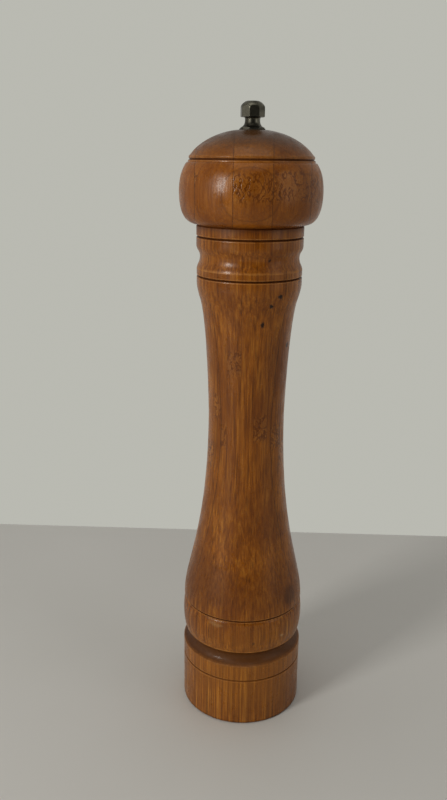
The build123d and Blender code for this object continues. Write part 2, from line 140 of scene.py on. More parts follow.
angle = add(lathe, "ShaderNodeMath", {0: share, 1: math.tau}, operation="MULTIPLY")
outline_point = add(
    lathe,
    "GeometryNodeSampleIndex",
    {"Geometry": size["Geometry"], "Value": add(lathe, "GeometryNodeInputPosition"), "Index": ring},
    data_type="FLOAT_VECTOR",
)
place = add(lathe, "ShaderNodeSeparateXYZ", {0: outline_point}).node.outputs
facet = add(lathe, "ShaderNodeMath", {0: math.tau, 1: size["Flats"]}, operation="DIVIDE")
from_flat = add(lathe, "ShaderNodeMath", {0: angle, 1: size["Flats Turn"]}, operation="SUBTRACT")
within = add(lathe, "ShaderNodeMath", {0: from_flat, 1: facet}, operation="FLOORED_MODULO")
half_facet = add(lathe, "ShaderNodeMath", {0: facet, 1: 0.5}, operation="MULTIPLY")
off_middle = add(lathe, "ShaderNodeMath", {0: within, 1: half_facet}, operation="SUBTRACT")
cosine = add(lathe, "ShaderNodeMath", {0: off_middle}, operation="COSINE")
flat_half = add(lathe, "ShaderNodeMath", {0: size["Across Flats"], 1: 0.5}, operation="MULTIPLY")
flat_limit = add(lathe, "ShaderNodeMath", {0: flat_half, 1: cosine}, operation="DIVIDE")
east = add(lathe, "ShaderNodeMath", {0: angle}, operation="COSINE")
north = add(lathe, "ShaderNodeMath", {0: angle}, operation="SINE")
ripple_height = add(
    lathe, "ShaderNodeMath", {0: place["Z"], 1: size["Ripple Length"]}, operation="DIVIDE"
)
ripple_place = add(lathe, "ShaderNodeCombineXYZ", {0: east, 1: north, 2: ripple_height})
wobble = add(
    lathe,
    "ShaderNodeTexNoise",
    {"Vector": ripple_place, "W": size["Seed"], "Scale": 1.0, "Detail": 2.0},
    noise_dimensions="4D",
)
swing = add(lathe, "ShaderNodeMath", {0: wobble, 1: 0.5}, operation="SUBTRACT")
rippled = add(
    lathe, "ShaderNodeMath", {0: swing, 1: size["Ripple"], 2: place["X"]}, operation="MULTIPLY_ADD"
)
radius = add(lathe, "ShaderNodeMath", {0: rippled, 1: flat_limit}, operation="MINIMUM")
turned_place = add(
    lathe,
    "ShaderNodeCombineXYZ",
    {
        0: add(lathe, "ShaderNodeMath", {0: radius, 1: east}, operation="MULTIPLY"),
        1: add(lathe, "ShaderNodeMath", {0: radius, 1: north}, operation="MULTIPLY"),
        2: place["Z"],
    },
)
turned = add(lathe, "GeometryNodeSetPosition", {"Geometry": sheet, "Position": turned_place})
for coat in ("lacquer", "stain_and_shade", "rub_and_highlight"):
    held = add(lathe, "GeometryNodeInputNamedAttribute", {"Name": coat}, data_type="FLOAT")
    amount = add(
        lathe,
        "GeometryNodeSampleIndex",
        {"Geometry": size["Geometry"], "Value": held, "Index": ring},
        data_type="FLOAT",
    )
    turned = add(
        lathe,
        "GeometryNodeStoreNamedAttribute",
        {"Geometry": turned, "Name": coat, "Value": amount},
        data_type="FLOAT",
        domain="POINT",
    )
closed = add(lathe, "GeometryNodeMergeByDistance", {"Geometry": turned, "Distance": 2e-6})
smooth = add(lathe, "GeometryNodeSetShadeSmooth", {"Geometry": closed, "Shade Smooth": True})
edge_angle = add(lathe, "GeometryNodeInputMeshEdgeAngle")
crisp = add(lathe, "FunctionNodeCompare", {"A": edge_angle, "B": size["Sharp Angle"]})
creased = add(
    lathe,
    "GeometryNodeSetShadeSmooth",
    {"Geometry": smooth, "Selection": crisp, "Shade Smooth": False},
    domain="EDGE",
)
end_tree(lathe, creased, size["Material"])


def arc(start, middle, end, steps):
    """Points of the arc through three points, without its first, as (radius, height)."""
    a, b, c = (complex(*p) for p in (start, middle, end))
    w = (c - a) / (b - a)
    centre = a + (b - a) * (w - abs(w) ** 2) / (2j * w.imag)
    sweep = cmath.phase((b - centre) / (a - centre)) + cmath.phase((c - centre) / (b - centre))
    spun = [centre + (a - centre) * cmath.rect(1, sweep * k / steps) for k in range(1, steps + 1)]
    return [(p.real, p.imag) for p in spun]


def curve(start, pull, push, end, steps):
    """Points of a curve with two handles, without its first, as (radius, height)."""
    points = interpolate_bezier(*(Vector((*p, 0)) for p in (start, pull, push, end)), steps + 1)
    return [(p.x, p.y) for p in points[1:]]


def turn(name, runs, step, material, sizes):
    """Turns a piece from runs of its outline: points in mm with lacquer, stain and painted shade, rub and
    painted highlight.
    """
    rows = [(r, z, *coats) for points, *coats in runs for r, z in points]
    rows.append(rows[0])
    fine = [rows[0]]
    for a, b in zip(rows, rows[1:]):
        pieces = max(1, math.ceil(math.hypot(b[0] - a[0], b[1] - a[1]) / step))
        for k in range(1, pieces + 1):
            fine.append(tuple(p + (q - p) * k / pieces for p, q in zip(a, b)))
    mesh = bpy.data.meshes.new(name + "_outline")
    mesh.from_pydata([(row[0] * MM, 0, row[1] * MM) for row in fine], [], [])
    for column, coat in ((2, "lacquer"), (3, "stain_and_shade"), (4, "rub_and_highlight")):
        layer = mesh.attributes.new(coat, "FLOAT", "POINT")
        layer.data.foreach_set("value", [row[column] for row in fine])
    choices = {
        "Segments": 320,
        "Ripple": 0.0,
        "Ripple Length": 4 * MM,
        "Flats": 8,
        "Across Flats": 1.0,
        "Flats Turn": 0.0,
        "Seed": 1,
        "Sharp Angle": math.radians(28),
        "Material": material,
    }
    return grow(name, lathe, mesh, {**choices, **sizes})


line_half = 1.1


def scored(radius, height, upper=0.0):
    """The runs of one V line, 1 mm wide and 0.8 mm deep, stain and painted shade inside, its two worn
    edges with painted highlight.
    """
    return [
        ([(radius - 0.03, height - line_half)], 1.0, 0.0, 0.0),
        ([(radius, height - 0.7)], 1.0, 0.0, 0.7),
        ([(radius - 0.1, height - 0.45)], 1.0, 0.5, 0.1),
        ([(radius - 0.8, height), (radius - 0.78, height + 0.08)], 1.0, 0.75, 0.0),
        ([(radius + upper - 0.12, height + 0.45)], 1.0, 0.5, 0.1),
        ([(radius + upper, height + 0.7)], 1.0, 0.0, 0.7),
        ([(radius + upper, height + line_half)], 1.0, 0.0, 0.0),
    ]


# Laminated bamboo, caramelised, planed and glued, then turned, stained and lacquered. The eye sees
# strips of slightly different brown, dark fibre bundles along them that turn to dashes where the
# shape cuts across, curly figure where a cane had its nodes, thin glue lines and a worn semi-gloss.
# Fibres are drawn two or three times as coarse as real ones, which are too fine to show.
def bamboo(name, turned_by, layer, strip, nodes_at, contrast, seed, marks):
    """Bamboo in mm: layers along X and strips along Y, each as (size, start), once turned by an angle.

    The nodes are (middle height, range); a mark is (centre, radii, colour, amount, depth).
    """
    material = bpy.data.materials.new(name)
    material.use_nodes = True
    tree = material.node_tree
    tree.nodes.clear()

    def maths(operation, a, b=0.0, c=0.0):
        return add(tree, "ShaderNodeMath", {0: a, 1: b, 2: c}, operation=operation)

    def ramp(value, low, high, start=0.0, end=1.0):
        return add(
            tree,
            "ShaderNodeMapRange",
            {"Value": value, "From Min": low, "From Max": high, "To Min": start, "To Max": end},
            interpolation_type="SMOOTHSTEP",
        )

    def distance(value, target):
        return maths("ABSOLUTE", maths("SUBTRACT", value, target))

    def vectors(operation, a, b):
        return add(tree, "ShaderNodeVectorMath", {0: a, 1: b}, operation=operation)

    def noise(vector, across, along, detail, roughness=0.5, out=0):
        """Noise whose features measure so many millimetres across the fibres and along them."""
        return add(
            tree,
            "ShaderNodeTexNoise",
            {
                "Vector": vectors("DIVIDE", vector, (across, across, along)),
                "Scale": 1.0,
                "Detail": detail,
                "Roughness": roughness,
            },
            out=out,
        )

    def blend(amount, a, b, mode="MIX"):
        return add(
            tree, "ShaderNodeMix", {0: amount, 6: a, 7: b}, out=2, data_type="RGBA", blend_type=mode
        )

    own = add(tree, "ShaderNodeTexCoord", out="Object")
    place = add(tree, "ShaderNodeMapping", {"Vector": own, "Scale": (1 / MM,) * 3})
    around = add(tree, "ShaderNodeMapping", {"Vector": place, "Rotation": (0, 0, turned_by)})
    cane = add(tree, "ShaderNodeSeparateXYZ", {0: around}).node.outputs

    # which strip a point is in: the layer, then the strip in that layer, and a few numbers for it
    layers = maths("DIVIDE", maths("SUBTRACT", cane["X"], layer[1]), layer[0])
    in_layer = maths("FRACT", layers)
    layer_number = maths("FLOOR", layers)
    strips = maths("DIVIDE", maths("SUBTRACT", cane["Y"], strip[1]), strip[0])
    in_strip = maths("FRACT", strips)
    strip_number = maths("FLOOR", strips)
    key = add(tree, "ShaderNodeCombineXYZ", {0: layer_number, 1: strip_number, 2: float(seed)})
    dice = add(tree, "ShaderNodeTexWhiteNoise", {"Vector": key}, out=1, noise_dimensions="3D")
    die = add(tree, "ShaderNodeSeparateColor", {0: dice}).node.outputs

    # the cane's nodes: in about two strips of three, a zone where the fibres curl
    node_edge, node_core = 8.0, 4.5
    strips_without = 0.3
    fibre_stray = 5.0
    node_height = maths("MULTIPLY_ADD", maths("SUBTRACT", die[0], 0.5), nodes_at[1], nodes_at[0])
    from_node = distance(cane["Z"], node_height)
    has_node = maths("GREATER_THAN", die[1], strips_without)
    knot = maths("MULTIPLY", ramp(from_node, node_edge, node_core), has_node)
    shove = vectors("SUBTRACT", noise(around, 3.125, 4.545, 2.0, out=1), (0.5,) * 3)
    stray = maths("MULTIPLY", knot, fibre_stray)
    push = add(tree, "ShaderNodeVectorMath", {0: shove, "Scale": stray}, operation="SCALE")

    # each strip is cut from another place of the cane
    lot_spread = 90.0
    lot = add(tree, "ShaderNodeCombineXYZ", {0: maths("MULTIPLY", die[1], lot_spread)})
    strayed = vectors("ADD", vectors("ADD", around, push), lot)

    # fibres: soft streaks, dark bundles and fine hairs, and the curls of a node with paler edges
    bundle_size = (1.333, 1.333, 62.5)
    streaks = noise(strayed, 1.1765, 77.0, 3.0, 0.7)
    hairs = noise(strayed, 0.4167, 20.0, 2.0, 0.6)
    in_bundles = vectors("DIVIDE", strayed, bundle_size)
    bundles = add(tree, "ShaderNodeTexVoronoi", {"Vector": in_bundles, "Scale": 1.0})
    bundle = ramp(bundles, 0.42, 0.12)
    dark_streak = ramp(streaks, 0.48, 0.62)
    pale_streak = ramp(streaks, 0.5, 0.36)
    hair = ramp(hairs, 0.45, 0.62)
    curl_turns = 4.5
    curl_field = maths("MULTIPLY", noise(around, 3.333, 5.0, 2.0), curl_turns)
    curl_line = distance(maths("FRACT", curl_field), 0.5)
    curls = maths("MULTIPLY", ramp(curl_line, 0.2, 0.06), knot)
    curl_edges = maths("MULTIPLY", ramp(distance(curl_line, 0.32), 0.12, 0.03), knot)
    mottle = noise(around, 20.0, 33.33, 3.0, 0.55)

    # colour, from the pale flesh of the cane to its dark skin; near the foot, where fewer hands have
    # been, the grain shows more clearly
    handled_above, clear_below = 75.0, 40.0
    grain = ramp(cane["Z"], handled_above, clear_below, contrast, 1.7 * contrast)
    skin = distance(in_layer, ramp(die[2], 0.45, 0.55))
    wood = blend(die[0], linear("#a9681a"), linear("#955711"))
    grain_amount = maths("MULTIPLY", grain, 0.55)
    wood = blend(maths("MULTIPLY", pale_streak, grain_amount), wood, linear("#c78b38"))
    wood = blend(maths("MULTIPLY", dark_streak, grain_amount), wood, linear("#552a06"))
    wood = blend(maths("MULTIPLY", hair, grain_amount), wood, linear("#5f300a"))
    strength = maths("MULTIPLY", grain, maths("MULTIPLY_ADD", skin, 0.5, 0.2))
    wood = blend(maths("MULTIPLY", bundle, strength), wood, linear("#3a1a03"))
    wood = blend(maths("MULTIPLY", curls, 0.55), wood, linear("#4f2708"))
    wood = blend(maths("MULTIPLY", curl_edges, 0.3), wood, linear("#c08a48"))
    wood = blend(ramp(mottle, 0.42, 0.66, 0.0, 0.45), wood, linear("#6a360a"))

    # glue lines: between strips they show, between layers they hardly do
    layer_glue = ramp(distance(in_layer, 0.5), 0.465, 0.495, 0.0, 0.4)
    strip_glue = ramp(distance(in_strip, 0.5), 0.485, 0.498)
    glue = maths("MAXIMUM", layer_glue, strip_glue)
    wood = blend(maths("MULTIPLY", glue, 0.65), wood, linear("#3c1c04"))

    # stain with painted shade in the cuts and seams; on their worn edges, the lacquer rubbed off, with
    # painted highlight
    stain_and_shade = add(tree, "ShaderNodeAttribute", out="Fac", attribute_name="stain_and_shade")
    lacquer = add(tree, "ShaderNodeAttribute", out="Fac", attribute_name="lacquer")
    rub_and_highlight = add(tree, "ShaderNodeAttribute", out="Fac", attribute_name="rub_and_highlight")
    patchy = noise(around, 3.333, 3.333, 3.0, 0.6)
    rubbed_and_highlight = maths("MULTIPLY", rub_and_highlight, ramp(patchy, 0.35, 0.6, 0.25, 1.0))
    wood = blend(maths("MULTIPLY", rubbed_and_highlight, 0.75), wood, linear("#c98e4a"))
    wood = blend(ramp(stain_and_shade, 0.05, 0.95, 0.0, 0.9), wood, linear("#431f06"))

    # marks of use and painted shade: pits, stains, dust and darker patches, each a spot with an outline
    # that is ragged if it is small
    rag_size, rag_depth = 2.0, 2.2
    ragged = vectors("SUBTRACT", noise(place, rag_size, rag_size, 3.0, 0.7, out=1), (0.5,) * 3)
    ragged = vectors("MULTIPLY", ragged, (rag_depth,) * 3)
    pits = 0.0
    for centre, radii, colour, amount, depth in marks:
        offset = vectors("DIVIDE", vectors("SUBTRACT", place, centre), radii)
        jag = max(0.2, min(1.0, 3.0 / max(radii)))
        rough_offset = vectors("ADD", offset, vectors("MULTIPLY", ragged, (jag,) * 3))
        from_centre = add(tree, "ShaderNodeVectorMath", {0: rough_offset}, out=1, operation="LENGTH")
        spot = ramp(from_centre, 1.2, 0.5)
        wood = blend(maths("MULTIPLY", spot, amount), wood, linear(colour))
        pits = maths("MULTIPLY_ADD", spot, depth, pits)

    # raw wood inside is paler and dry
    raw = blend(1.0, wood, linear("#d9bd92"), "SCREEN")
    raw = blend(0.45, raw, linear("#b08850"))
    colour = blend(lacquer, raw, wood)

    # worn lacquer: duller where hands and grime have been, broken up along the fibres
    wear = noise(around, 5.0, 7.143, 4.0, 0.68)
    gloss = maths("ADD", ramp(wear, 0.35, 0.68, 0.22, 0.44), maths("MULTIPLY", hair, 0.06))
    gloss = maths("ADD", gloss, maths("MULTIPLY", maths("MAXIMUM", stain_and_shade, rubbed_and_highlight), 0.25))
    roughness = maths("MULTIPLY_ADD", lacquer, maths("SUBTRACT", gloss, 0.8), 0.8)
    relief = maths("ADD", maths("MULTIPLY", streaks, 0.9), maths("MULTIPLY", hairs, 0.3))
    relief = maths("ADD", relief, maths("MULTIPLY", wear, 0.8))
    relief = maths("SUBTRACT", relief, maths("MULTIPLY", glue, 0.3))
    relief = maths("SUBTRACT", relief, maths("MULTIPLY", curls, 0.7))
    relief = maths("SUBTRACT", relief, pits)
    bump = add(tree, "ShaderNodeBump", {"Strength": 0.6, "Distance": 0.12 * MM, "Height": relief})
    surface = add(
        tree,
        "ShaderNodeBsdfPrincipled",
        {
            "Base Color": colour,
            "Roughness": roughness,
            "IOR": 1.45,
            "Normal": bump,
            "Coat Weight": 0.12,
            "Coat Roughness": 0.12,
        },
    )
    add(tree, "ShaderNodeOutputMaterial", {0: surface})
    return material


# pits and specks, a bruise, a chip and dust, then broad tones: a darker lower flare, the cove, a paler
# foot
barrel_marks = [
    ((6.6, -20.7, 210.3), (1.0, 2.0, 1.8), "#220e04", 0.95, 3.0),
    ((10.5, -20.9, 218.8), (1.1, 2.0, 1.1), "#220e04", 0.95, 3.0),
    ((14.5, -19.9, 223.3), (1.2, 2.0, 1.0), "#220e04", 0.95, 3.0),
    ((18.5, -8.7, 198.4), (2.0, 1.2, 1.7), "#2a1206", 0.9, 3.0),
    ((9.0, -21.8, 239.7), (0.6, 2.0, 0.8), "#2a1206", 0.8, 2.0),
    ((6.2, -30.8, 48.0), (0.8, 2.0, 0.8), "#2a1206", 0.9, 2.0),
    ((24.2, -18.3, 69.2), (5.0, 6.0, 6.0), "#4a2608", 0.6, 0.0),
    ((20.6, -23.7, 49.0), (1.0, 2.0, 0.8), "#c9a87c", 0.7, 0.0),
    ((-13.0, -28.0, 57.0), (4.0, 3.0, 1.3), "#a98457", 0.4, 0.0),
    # a darker band round the lower flare
    ((0.0, 0.0, 76.0), (70.0, 70.0, 13.0), "#633408", 0.28, 0.0),
    ((4.0, -8.0, 32.0), (36.0, 60.0, 30.0), "#c4822f", 0.3, 0.0),
    # the cove darkened by grime and by painted shade
    ((0.0, 0.0, 38.0), (90.0, 90.0, 4.5), "#452206", 0.5, 0.0),
    # a patch darker on the left of the lower flare
    ((-24.0, -18.0, 77.0), (18.0, 18.0, 17.0), "#5a2f0a", 0.35, 0.0),
]
barrel_bamboo = bamboo(
    "lacquered_laminated_bamboo_barrel",
    turned_by=0.0,
    layer=(6.5, 3.6),
    strip=(17.5, 3.0),
    nodes_at=(182.0, 110.0),
    contrast=0.68,
    seed=3,
    marks=barrel_marks,
)

# the outline, in mm from the axis and from the table, up the outside and down the inside
foot_radius = 31.4
foot_edge = 0.7
foot_line = 25.8
cove_foot = (foot_radius, 34.6)
band_foot = (30.2, 42.0)
band_line = (30.65, 60.4)
waist = (18.87, 161.95)
shoulder = (23.37, 219.0)
collar = 25.1
collar_line = 230.3
collar_top = (collar, 233.8)
neck_hollow = (23.55, 239.2)
neck_top = 25.3
neck_line = 248.6
rim_height = 253.8
rim_round = 0.45
socket_radius = 16.2
socket_floor = 236.8
chamber_radius = 12.5
pocket_radius = 17.2
pocket_top = 29.7
flange_radius = 18.7
flange_top = 12.5
recess_radius = 24.0
recess_top = 10.0

cove = arc(cove_foot, (28.3, 38.3), band_foot, 20)
band = curve(band_foot, (31.5, 45.5), (32.1, 54.0), (30.6, band_line[1]), 24)
band = [p for p in band if p[1] < band_line[1] - line_half - 0.3]
flare = curve((31.05, 61.4), (31.05, 77.38), (waist[0], 98.0), waist, 84)
flare = [p for p in flare if p[1] > band_line[1] + line_half + 0.5]
neck = curve(waist, (waist[0], 163.89), (19.94, 208.05), shoulder, 52)
neck += curve(shoulder, (24.18, 221.6), (collar, 224.7), (collar, 227.3), 10)
roll = curve(collar_top, (24.65, 235.8), (neck_hollow[0], 236.6), neck_hollow, 10)
hollow = curve(neck_hollow, (neck_hollow[0], 241.8), (neck_top, 242.2), (neck_top, 244.8), 8)

# how much lacquer, stain with painted shade, and rub with painted highlight a plain run has outside and
# inside
lacquered = (1.0, 0.0, 0.0)
bare = (0.0, 0.0, 0.0)
# the foot's lower edge, where it meets the table, holds stain and painted shade
outside = [([(30.7, 0.0), (foot_radius, foot_edge)], 1.0, 0.5, 0.0), ([(foot_radius, 1.6)], 1.0, 0.0, 0.2)]
outside += scored(foot_radius, foot_line)
outside += [([(foot_radius, 33.4)], 1.0, 0.0, 0.1), ([(foot_radius, 34.3)], 1.0, 0.1, 0.5)]
# the cove holds stain and painted shade
outside += [(cove[:2], 1.0, 0.5, 0.1), (cove[2:-2], 1.0, 0.85, 0.0), (cove[-2:-1], 1.0, 0.6, 0.2)]
outside += [([(30.28, 42.1), band[0]], 1.0, 0.0, 1.0), (band[1:], *lacquered)]
outside += scored(*band_line, 0.4)
outside += [(flare + neck, *lacquered)]
outside += scored(collar, collar_line)
# the collar's top edge rubbed pale, partly a painted highlight
outside += [([(collar, 233.4)], 1.0, 0.0, 0.1), ([(collar, 233.75)], 1.0, 0.0, 0.8)]
# a little stain and painted shade over the roll and the neck hollow
outside += [(roll[1:], 1.0, 0.12, 0.0), (hollow, 1.0, 0.1, 0.0)]
outside += scored(neck_top, neck_line)
# the rim's rounded edge at the seam under the head holds stain and painted shade
outside += [([(neck_top, rim_height - rim_round), (neck_top - rim_round, rim_height)], 1.0, 0.6, 0.0)]
socket = [(24.2, rim_height), (socket_radius + 0.3, rim_height), (socket_radius, rim_height - 0.3)]
socket += [(socket_radius, socket_floor), (chamber_radius, socket_floor)]
pocket = [(chamber_radius, pocket_top), (pocket_radius, pocket_top), (pocket_radius, flange_top)]
pocket += [(flange_radius, flange_top), (flange_radius, recess_top), (recess_radius, recess_top)]
foot_ring = [(recess_radius, 0.3), (recess_radius + 0.3, 0.0), (29.9, 0.0)]
barrel = turn(
    "barrel_turned",
    outside + [(socket + pocket, *bare), (foot_ring, 0.0, 0.2, 0.0)],
    step=1.5,
    material=barrel_bamboo,
    sizes={"Ripple": 0.05 * MM, "Ripple Length": 5 * MM, "Seed": 4},
)
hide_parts("barrel")
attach(barrel, "barrel")

# ---- Ring burr ----
# The fixed half of the mill: a sintered steel ring with coarse teeth above that crack the corns and
# fine ones below, pressed up into its pocket and held by its flange. Hardened, so it is dark and dry.


def metal(name, colour, dark, roughness, grain, tarnish, relief):
    """A worn metal: a tone and a gloss that vary in patches, and marks whose size is given in mm."""
    material = bpy.data.materials.new(name)
    material.use_nodes = True
    tree = material.node_tree
    tree.nodes.clear()
    own = add(tree, "ShaderNodeTexCoord", out="Object")
    marks_per_metre = tuple(1 / (size * MM) for size in grain)
    patches_per_metre = 260.0
    along = add(tree, "ShaderNodeMapping", {"Vector": own, "Scale": marks_per_metre})
    marks = add(
        tree,
        "ShaderNodeTexNoise",
        {"Vector": along, "Scale": 1.0, "Detail": 4.0, "Roughness": 0.6},
    )
    patches = add(
        tree,
        "ShaderNodeTexNoise",
        {"Vector": own, "Scale": patches_per_metre, "Detail": 3.0, "Roughness": 0.6},
    )
    tarnished = add(
        tree,
        "ShaderNodeMapRange",
        {"Value": patches, "From Min": 0.4, "From Max": 0.65, "To Max": tarnish},
    )
    worn = add(
        tree,
        "ShaderNodeMix",
        {0: tarnished, 6: linear(colour), 7: linear(dark)},
        out=2,
        data_type="RGBA",
    )
    streaked = add(
        tree,
        "ShaderNodeMapRange",
        {"Value": marks, "From Min": 0.3, "From Max": 0.7, "To Min": 0.82, "To Max": 1.0},
    )
    shade = add(
        tree,
        "ShaderNodeMix",
        {0: 1.0, 6: worn, 7: streaked},
        out=2,
        data_type="RGBA",
        blend_type="MULTIPLY",
    )
    gloss = add(
        tree,
        "ShaderNodeMapRange",
        {
            "Value": patches,
            "From Min": 0.35,
            "From Max": 0.7,
            "To Min": roughness[0],
            "To Max": roughness[1],
        },
    )
    bump = add(tree, "ShaderNodeBump", {"Strength": 0.4, "Distance": relief * MM, "Height": marks})
    surface = add(
        tree,
        "ShaderNodeBsdfPrincipled",
        {"Base Color": shade, "Metallic": 1.0, "Roughness": gloss, "Normal": bump},
    )
    add(tree, "ShaderNodeOutputMaterial", {0: surface})
    return material


# Sintered and hardened steel: a fine sandy skin with a grit of 0.3 mm, oil-dark in its hollows.
burr_steel = metal(
    "hardened_sintered_steel",
    "#7b7a76",
    "#3b3a37",
    roughness=(0.42, 0.6),
    grain=(0.3125, 0.3125, 0.3125),
    tarnish=0.7,
    relief=0.05,
)


def finish(node, material):
    """Gives a carried-over CAD node its material."""
    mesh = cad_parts[node].data
    mesh.materials.clear()
    mesh.materials.append(material)


finish("ring_burr", burr_steel)

# ---- Bridge ----
# A strap of sheet steel bent to a stirrup that stands on the ring burr; its eye guides the shaft and
# its top carries the spring's thrust washer. Stamped and zinc plated: grey, with drawn-out scratches.
stamped_steel = metal(
    "stamped_zinc_plated_steel",
    "#b4b6b5",
    "#7b7c78",
    roughness=(0.28, 0.5),
    grain=(2.86, 0.25, 0.25),
    tarnish=0.6,
    relief=0.02,
)
finish("bridge", stamped_steel)

# ---- Retaining plate and its screws ----
# A stamped steel washer screwed up into the foot: it holds the ring burr in its pocket. Three
# pan-head wood screws with a straight slot, each stopped at its own angle.
finish("retaining_plate", stamped_steel)

# Turned and nickelled steel screws: bright, with ring marks from the turning.
screw_steel = metal(
    "nickelled_screw_steel",
    "#c2bfb6",
    "#8a8780",
    roughness=(0.2, 0.42),
    grain=(0.2, 0.2, 0.2),
    tarnish=0.5,
    relief=0.01,
)

screw_set, size = start_tree(
    "screws on a ring",
    {
        "Count": "Int",
        "Ring Radius": "Float",
        "Head Face": "Float",
        "Slot Length": "Float",
        "Slot Width": "Float",
        "Slot Depth": "Float",
        "Seed": "Int",
        "Material": "Material",
    },
)
cutter_height = add(screw_set, "ShaderNodeMath", {0: size["Slot Depth"], 1: 2.0}, operation="MULTIPLY")
cutter_size = add(
    screw_set,
    "ShaderNodeCombineXYZ",
    {0: size["Slot Length"], 1: size["Slot Width"], 2: cutter_height},
)
cutter = add(screw_set, "GeometryNodeMeshCube", {"Size": cutter_size})
on_head = add(screw_set, "ShaderNodeCombineXYZ", {2: size["Head Face"]})
cutter = add(screw_set, "GeometryNodeTransform", {"Geometry": cutter, "Translation": on_head})
slotted = add(
    screw_set,
    "GeometryNodeMeshBoolean",
    {"Mesh 1": size["Geometry"], "Mesh 2": cutter},
    operation="DIFFERENCE",
)
which = add(screw_set, "GeometryNodeInputIndex")
step_angle = add(screw_set, "ShaderNodeMath", {0: math.tau, 1: size["Count"]}, operation="DIVIDE")
screw_angle = add(screw_set, "ShaderNodeMath", {0: which, 1: step_angle}, operation="MULTIPLY")
off_axis = add(screw_set, "ShaderNodeCombineXYZ", {0: size["Ring Radius"]})
screw_place = add(screw_set, "ShaderNodeVectorRotate", {"Vector": off_axis, "Angle": screw_angle})
spots = add(screw_set, "GeometryNodePoints", {"Count": size["Count"], "Position": screw_place})
stop_angle = add(
    screw_set,
    "FunctionNodeRandomValue",
    {2: 0.0, 3: math.pi, "Seed": size["Seed"]},
    out=1,
)
stopped = add(screw_set, "ShaderNodeCombineXYZ", {2: stop_angle})
screws = add(
    screw_set,
    "GeometryNodeInstanceOnPoints",
    {"Points": spots, "Instance": slotted, "Rotation": stopped},
)
end_tree(screw_set, screws, size["Material"])


def drive_screws(name, seat, count, ring, length, shank, head, height, pitch, seed):
    """Slotted pan-head screws driven upward, in mm, their heads bearing on a face at the seat's height."""
    bottom = seat - height
    thread_depth = 0.25
    outline = [(0, bottom), (head - 1.0, bottom), (head - 0.4, bottom + 0.12)]
    outline += [(head, bottom + 0.5), (head, seat), (shank, seat)]
    threads = int((length - 2.6) / pitch)
    for k in range(threads):
        foot = seat + 1.2 + k * pitch
        outline += [(shank - thread_depth, foot), (shank, foot + pitch / 2)]
        outline += [(shank - thread_depth, foot + pitch * 0.9)]
    outline += [(shank - 0.3, seat + length - 1.2), (0, seat + length)]
    blank = turn(
        name + "_blank",
        [(outline, *bare)],
        step=2.0,
        material=screw_steel,
        sizes={"Segments": 32},
    )
    sizes = {
        "Count": count,
        "Ring Radius": ring * MM,
        "Head Face": bottom * MM,
        "Slot Length": 3 * head * MM,
        "Slot Width": 0.7 * MM,
        "Slot Depth": 0.6 * MM,
        "Seed": seed,
        "Material": screw_steel,
    }
    driven = grow(name, screw_set, blank.data, sizes)
    bpy.data.objects.remove(blank)
    return driven


retaining_screws = drive_screws(
    "retaining_screws_driven",
    seat=8.8,
    count=3,
    ring=21.3,
    length=12.0,
    shank=1.15,
    head=2.1,
    height=1.3,
    pitch=1.1,
    seed=5,
)
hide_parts("retaining_plate_screws")
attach(retaining_screws, "barrel")

# ---- Thrust washer and burr spring ----
# The spring sits between the rotating burr and a steel washer under the bridge and pushes the burr
# down, open. Wound from hard-drawn wire with its end turns closed, so that it stands square.
washer_steel = metal(
    "stamped_washer_steel",
    "#a9a79f",
    "#6f6c65",
    roughness=(0.25, 0.45),
    grain=(0.5, 0.5, 0.5),
    tarnish=0.6,
    relief=0.015,
)
finish("thrust_washer", washer_steel)

# Hard-drawn spring wire: dark grey and shiny, with the die's lines.
spring_wire = metal(
    "hard_drawn_spring_wire",
    "#8f8f8d",
    "#56544f",
    roughness=(0.2, 0.38),
    grain=(0.4, 0.4, 0.4),
    tarnish=0.5,
    relief=0.01,
)

coil, size = start_tree(
    "coil with closed ends",
    {
        "Turns": "Float",
        "Coil Radius": "Float",
        "Wire Radius": "Float",
        "Bottom": "Float",
        "Top": "Float",
        "Material": "Material",
    },
)
coil_points = 420
wire_width = add(coil, "ShaderNodeMath", {0: size["Wire Radius"], 1: 2.0}, operation="MULTIPLY")
travel = add(coil, "ShaderNodeMath", {0: size["Top"], 1: size["Bottom"]}, operation="SUBTRACT")
three_wires = add(coil, "ShaderNodeMath", {0: wire_width, 1: 3.0}, operation="MULTIPLY")
open_travel = add(coil, "ShaderNodeMath", {0: travel, 1: three_wires}, operation="SUBTRACT")
open_turns = add(coil, "ShaderNodeMath", {0: size["Turns"], 1: 2.0}, operation="SUBTRACT")
pitch = add(coil, "ShaderNodeMath", {0: open_travel, 1: open_turns}, operation="DIVIDE")
wound = add(coil, "GeometryNodeCurvePrimitiveLine")
wound = add(coil, "GeometryNodeResampleCurve", {"Curve": wound, "Count": coil_points})
along_wire = add(coil, "GeometryNodeSplineParameter")
turn_number = add(coil, "ShaderNodeMath", {0: along_wire, 1: size["Turns"]}, operation="MULTIPLY")
closed_turns = add(coil, "ShaderNodeMath", {0: turn_number, 1: 1.0}, operation="MINIMUM")
past_first = add(coil, "ShaderNodeMath", {0: turn_number, 1: 1.0}, operation="SUBTRACT")
open_done = add(coil, "ShaderNodeClamp", {0: past_first, 1: 0.0, 2: open_turns})
past_open = add(coil, "ShaderNodeMath", {0: past_first, 1: open_done}, operation="SUBTRACT")
last_turn = add(coil, "ShaderNodeMath", {0: past_open, 1: 0.0}, operation="MAXIMUM")
dead = add(coil, "ShaderNodeMath", {0: closed_turns, 1: last_turn}, operation="ADD")
start_height = add(coil, "ShaderNodeMath", {0: size["Bottom"], 1: size["Wire Radius"]}, operation="ADD")
dead_rise = add(
    coil, "ShaderNodeMath", {0: dead, 1: wire_width, 2: start_height}, operation="MULTIPLY_ADD"
)
